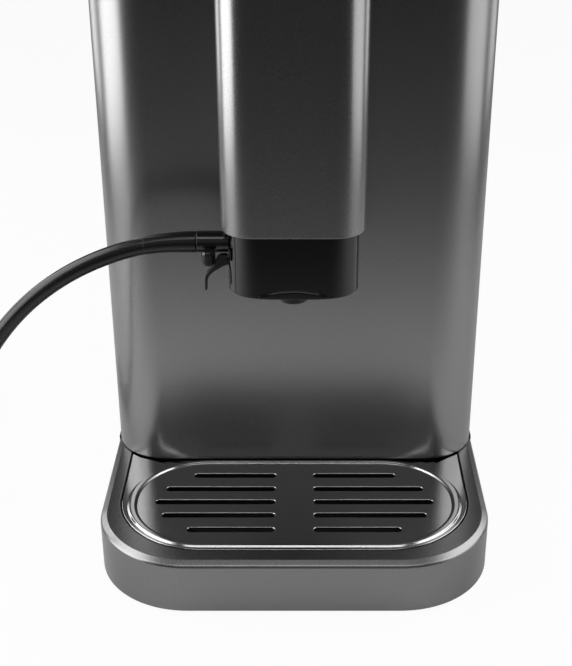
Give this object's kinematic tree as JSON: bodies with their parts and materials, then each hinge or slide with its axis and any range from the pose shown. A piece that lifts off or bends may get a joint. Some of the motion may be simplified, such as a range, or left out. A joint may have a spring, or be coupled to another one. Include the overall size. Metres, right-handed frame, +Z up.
{
  "type": "bean-to-cup coffee maker",
  "caption": "Slim bean-to-cup coffee maker: steel front, central column with a sliding spout and milk hose, pull-out drip tray, bean hopper, grinder, brew group and lift-out water tank.",
  "frame": {"origin": "on the surface that the rubber feet stand on, under the middle of the machine without its milk hose", "axes": "+X to the machine's right as seen from the front, +Y to its back, +Z up"},
  "size_m": [0.3099, 0.425, 0.35],
  "materials": {
    "brushed_panel_steel": "dark vertical brushed steel sheet",
    "column_steel": "dark satin steel sheet",
    "tray_paint": "satin grey, fine grain",
    "polished_steel": "polished pressed steel",
    "black_plastic": "fine textured black moulding",
    "gloss_black": "piano black moulding",
    "touch_glass": "black backed glass",
    "smoke_plastic": "smoke-tinted clear plastic",
    "hose_rubber": "matte black food-grade hose",
    "rubber": "soft black rubber",
    "white_plastic": "white nylon",
    "grey_plastic": "grey engineering plastic",
    "cast_aluminium": "cast aluminium",
    "machine_steel": "turned steel",
    "burr_steel": "hardened steel",
    "board_green": "green circuit board",
    "pipe_white": "translucent white pipe",
    "silicone": "clear silicone hose"
  },
  "bodies": {
    "housing": {"base_plate": "black_plastic", "rubber_feet": "rubber", "chassis_deck": "grey_plastic", "centre_wall": "grey_plastic", "front_panel": "brushed_panel_steel", "left_panel": "brushed_panel_steel", "right_panel": "brushed_panel_steel", "rear_panel": "black_plastic", "rear_screws": "machine_steel", "top_cover": "black_plastic", "column_cover": "column_steel", "spout_rail": "black_plastic", "control_head": "gloss_black", "touch_glass": "touch_glass", "circuit_boards": "board_green", "bean_hopper": "smoke_plastic", "grinder_housing": "grey_plastic", "grinder_gearbox": "grey_plastic", "grinder_motor": "machine_steel", "coffee_chute": "black_plastic", "pump": "white_plastic", "flow_meter": "white_plastic", "thermoblock": "cast_aluminium", "steam_valve": "machine_steel", "water_pipes": "pipe_white", "brew_base": "grey_plastic", "brew_chamber": "white_plastic", "guide_posts": "machine_steel", "brew_top_plate": "machine_steel", "brew_motor": "machine_steel", "power_inlet": "black_plastic", "tank_bay": "black_plastic", "spout_hoses": "silicone", "hose_fitting": "gloss_black"},
    "drip_tray": {"tray_band": "tray_paint", "tray_basin": "black_plastic", "grounds_container": "black_plastic"},
    "grid": {"drip_grid": "polished_steel"},
    "spout": {"spout_front_cover": "gloss_black", "spout_rear_cover": "gloss_black", "coffee_nozzle": "black_plastic", "milk_frother": "gloss_black", "air_valve": "gloss_black", "hose_cuff": "rubber", "milk_hose": "hose_rubber"},
    "lever": {"milk_lever": "gloss_black"},
    "start_button": {"power_button": "gloss_black"},
    "mains_rocker": {"power_switch": "black_plastic"},
    "hopper_lid": {"bean_lid": "smoke_plastic"},
    "knob": {"grind_knob": "black_plastic"},
    "upper_burr": {"upper_burr": "burr_steel"},
    "lower_burr": {"lower_burr": "burr_steel"},
    "tank": {"water_tank": "smoke_plastic", "tank_valve": "rubber"},
    "tank_cover": {"tank_lid": "black_plastic"},
    "door": {"service_door": "brushed_panel_steel"},
    "screw": {"drive_screw": "machine_steel"},
    "pinion": {"motor_pinion": "machine_steel"},
    "piston": {"piston_carriage": "grey_plastic", "piston_seal": "rubber"}
  },
  "joints": [
    {"name": "tray_slide", "type": "slide", "parent": "housing", "child": "drip_tray", "axis": [0, -1, 0], "range_m": [0, 0.23]},
    {"name": "grid_lift", "type": "slide", "parent": "drip_tray", "child": "grid", "axis": [0, 0, 1], "range_m": [0, 0.045]},
    {"name": "spout_slide", "type": "slide", "parent": "housing", "child": "spout", "axis": [0, 0, 1], "range_m": [-0.06, 0], "deforming": ["spout_hoses", "milk_hose"]},
    {"name": "lever_press", "type": "hinge", "parent": "spout", "child": "lever", "pos_m": [-0.0287, -0.1604, 0.1691], "axis": [0, -1, 0], "range_deg": [0, 20], "stiffness_Nm_per_rad": 0.02, "springref_deg": -17.19},
    {"name": "start_press", "type": "slide", "parent": "housing", "child": "start_button", "axis": [0, 0.7071, -0.7071], "range_m": [0, 0.002], "stiffness_N_per_m": 400, "springref_m": -0.002},
    {"name": "rocker_turn", "type": "hinge", "parent": "housing", "child": "mains_rocker", "pos_m": [0.058, 0.2075, 0.092], "axis": [-1, 0, 0], "range_deg": [0, 12]},
    {"name": "hopper_lid_open", "type": "hinge", "parent": "housing", "child": "hopper_lid", "pos_m": [0.032, 0.0695, 0.3355], "axis": [-1, 0, 0], "range_deg": [0, 100]},
    {"name": "tank_lift", "type": "slide", "parent": "housing", "child": "tank", "axis": [0, 0, 1], "range_m": [0, 0.302]},
    {"name": "tank_lid_open", "type": "hinge", "parent": "tank", "child": "tank_cover", "pos_m": [-0.05, 0.1975, 0.3355], "axis": [-1, 0, 0], "range_deg": [0, 95]},
    {"name": "door_open", "type": "hinge", "parent": "housing", "child": "door", "pos_m": [0.093, 0.0995, 0.15], "axis": [0, 0, 1], "range_deg": [0, 90]},
    {"name": "knob_turn", "type": "hinge", "parent": "housing", "child": "knob", "pos_m": [-0.0435, 0.0025, 0.3], "axis": [0, 0, 1], "range_deg": [-123, 123]},
    {"name": "burr_adjust", "type": "hinge", "parent": "housing", "child": "upper_burr", "pos_m": [0.042, 0.0025, 0.286], "axis": [0, 0, 1], "range_deg": [-20, 20]},
    {"name": "grinder_spin", "type": "hinge", "parent": "housing", "child": "lower_burr", "pos_m": [0.042, 0.0025, 0.24], "axis": [0, 0, 1], "continuous": true},
    {"name": "screw_turn", "type": "hinge", "parent": "housing", "child": "screw", "pos_m": [0.042, 0.0205, 0.19], "axis": [0, 0, 1], "range_deg": [0, 1800]},
    {"name": "piston_slide", "type": "slide", "parent": "housing", "child": "piston", "axis": [0, 0, 1], "range_m": [-0.0401, 0]},
    {"name": "pinion_turn", "type": "hinge", "parent": "housing", "child": "pinion", "pos_m": [0.042, 0.061, 0.19], "axis": [0, 0, 1], "range_deg": [-5143, 0]}
  ],
  "couplings": [
    {"joint": "knob_turn", "follows": "burr_adjust", "ratio": -6.125},
    {"joint": "piston_slide", "follows": "screw_turn", "m_per_rad": -0.0012732},
    {"joint": "pinion_turn", "follows": "screw_turn", "ratio": -2.8571}
  ]
}
